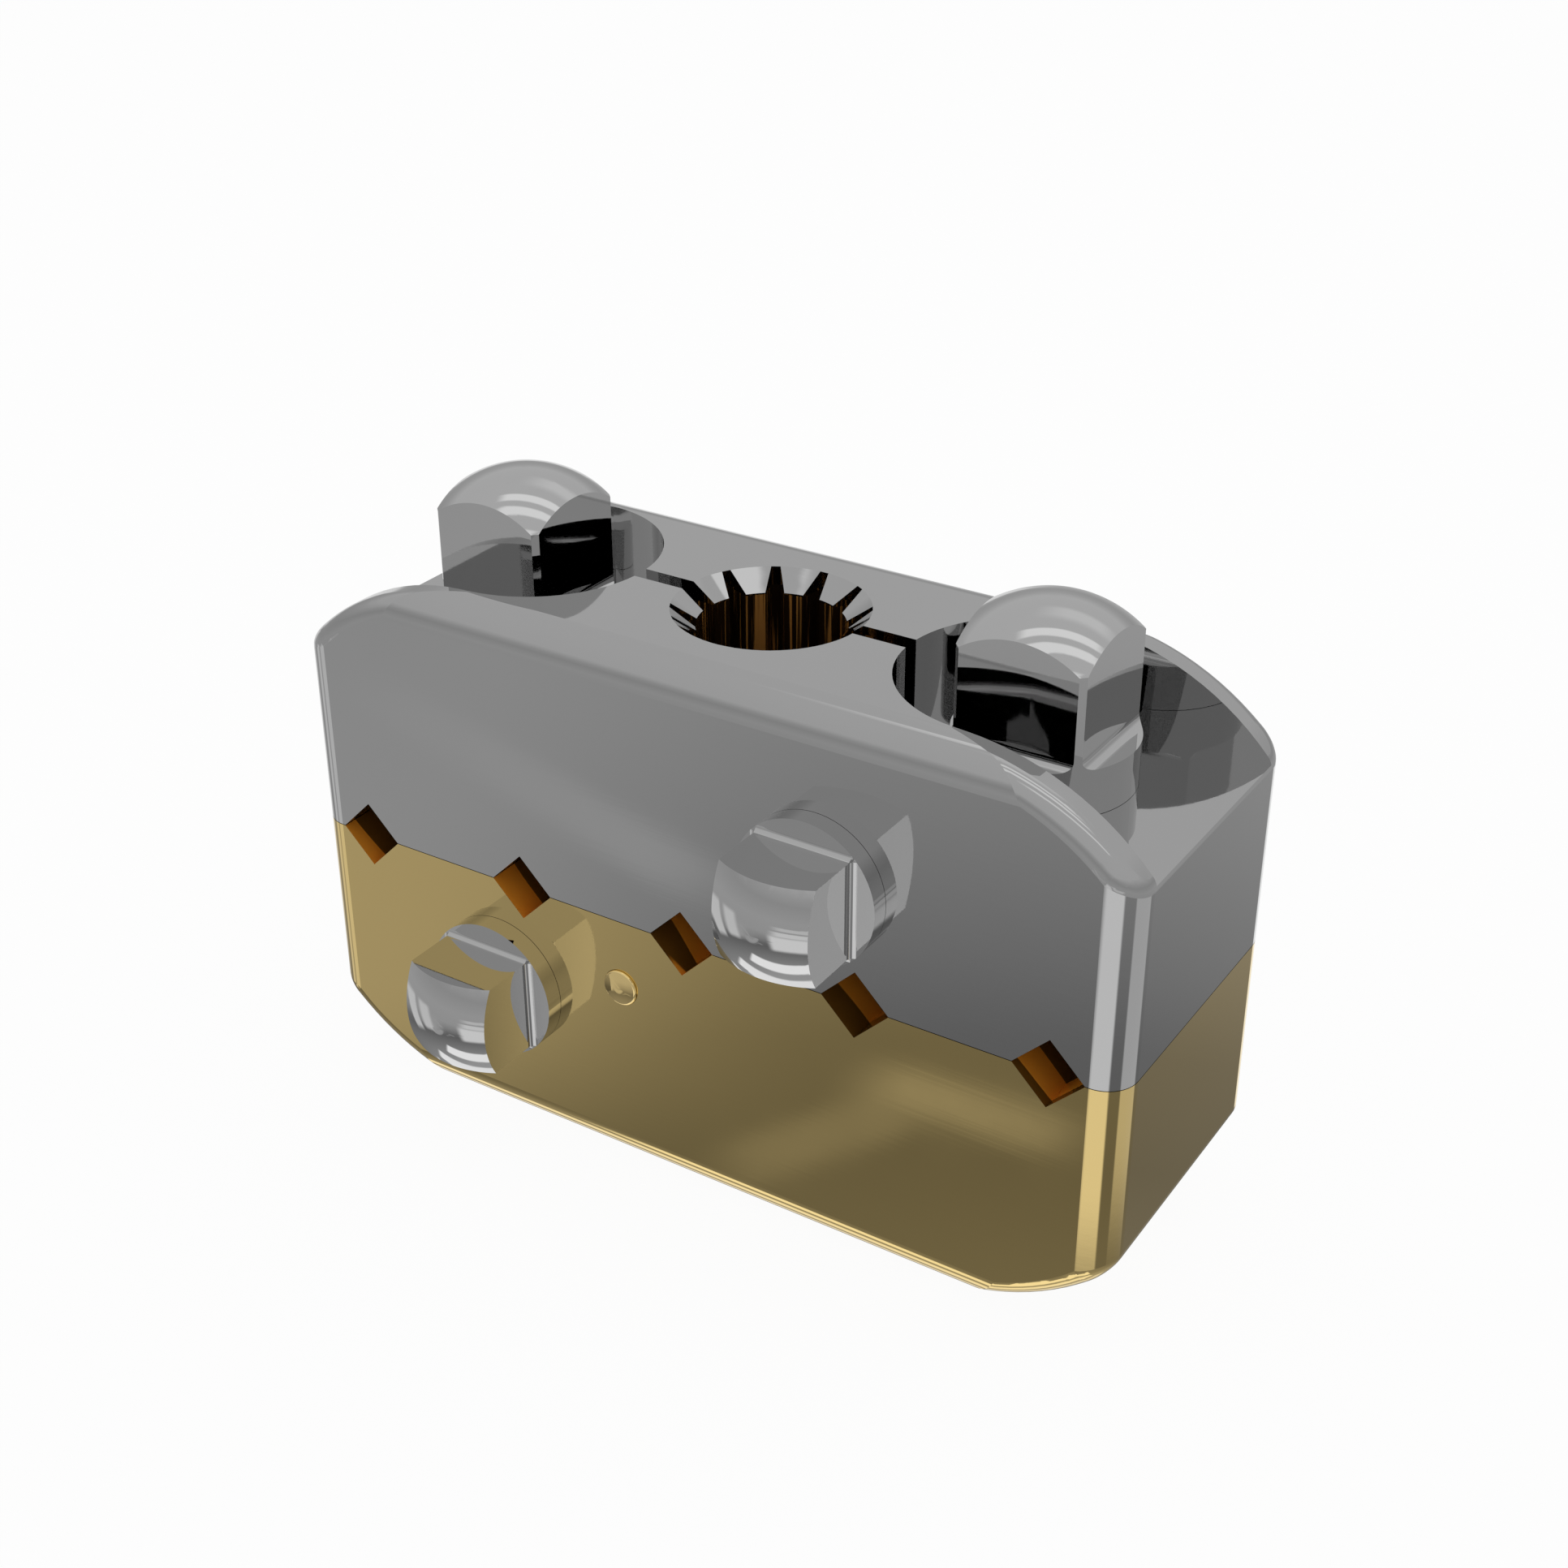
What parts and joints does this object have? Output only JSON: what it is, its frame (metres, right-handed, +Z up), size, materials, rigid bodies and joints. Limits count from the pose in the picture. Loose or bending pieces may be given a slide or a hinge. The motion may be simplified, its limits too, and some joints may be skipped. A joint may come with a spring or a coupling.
{
  "type": "external fixator pin clamp",
  "caption": "Split block clamp that grips a row of bone pins between V-channels and takes a splined post in a slit socket, tightened by square-headed bolts.",
  "frame": {"origin": "on the base plane, under the axis of the post socket", "axes": "+Z up along the post socket, +X along the row of pin channels, -Y out of the face with the post bolts"},
  "size_m": [0.0574, 0.0264, 0.0412],
  "materials": {
    "gold_jaw": "gold anodised and polished",
    "grey_jaw": "polished",
    "bolt_steel": "polished",
    "ring_steel": "spring steel",
    "gold_pin": "gold anodised"
  },
  "bodies": {
    "lower_jaw": {"lower_jaw": "gold_jaw", "stop_pin": "gold_pin"},
    "upper_jaw": {"upper_jaw": "grey_jaw"},
    "clamp_bolt_left": {"clamp_bolt_left": "bolt_steel", "retaining_ring_left": "ring_steel"},
    "clamp_bolt_right": {"clamp_bolt_right": "bolt_steel", "retaining_ring_right": "ring_steel"},
    "post_bolt_upper": {"post_bolt_upper": "bolt_steel"},
    "post_bolt_lower": {"post_bolt_lower": "bolt_steel"}
  },
  "joints": [
    {"name": "jaw_lift", "type": "slide", "parent": "lower_jaw", "child": "upper_jaw", "axis": [0, 0, 1], "range_m": [0, 0.0026]},
    {"name": "clamp_bolt_left_turn", "type": "hinge", "parent": "upper_jaw", "child": "clamp_bolt_left", "pos_m": [-0.0182, 0, 0.0303], "axis": [0, 0, 1], "range_deg": [0, 940]},
    {"name": "clamp_bolt_right_turn", "type": "hinge", "parent": "upper_jaw", "child": "clamp_bolt_right", "pos_m": [0.0182, 0, 0.0303], "axis": [0, 0, 1], "range_deg": [0, 940]},
    {"name": "post_bolt_upper_turn", "type": "hinge", "parent": "upper_jaw", "child": "post_bolt_upper", "pos_m": [0.0093, -0.01002, 0.02525], "axis": [0, -1, 0], "range_deg": [0, 360]},
    {"name": "post_bolt_lower_turn", "type": "hinge", "parent": "lower_jaw", "child": "post_bolt_lower", "pos_m": [-0.01404, -0.01002, 0.01049], "axis": [0, -1, 0], "range_deg": [0, 360]}
  ],
  "couplings": [
    {"joint": "clamp_bolt_left_turn", "follows": "jaw_lift", "rad_per_m": 6283.2},
    {"joint": "clamp_bolt_right_turn", "follows": "jaw_lift", "rad_per_m": 6283.2}
  ]
}
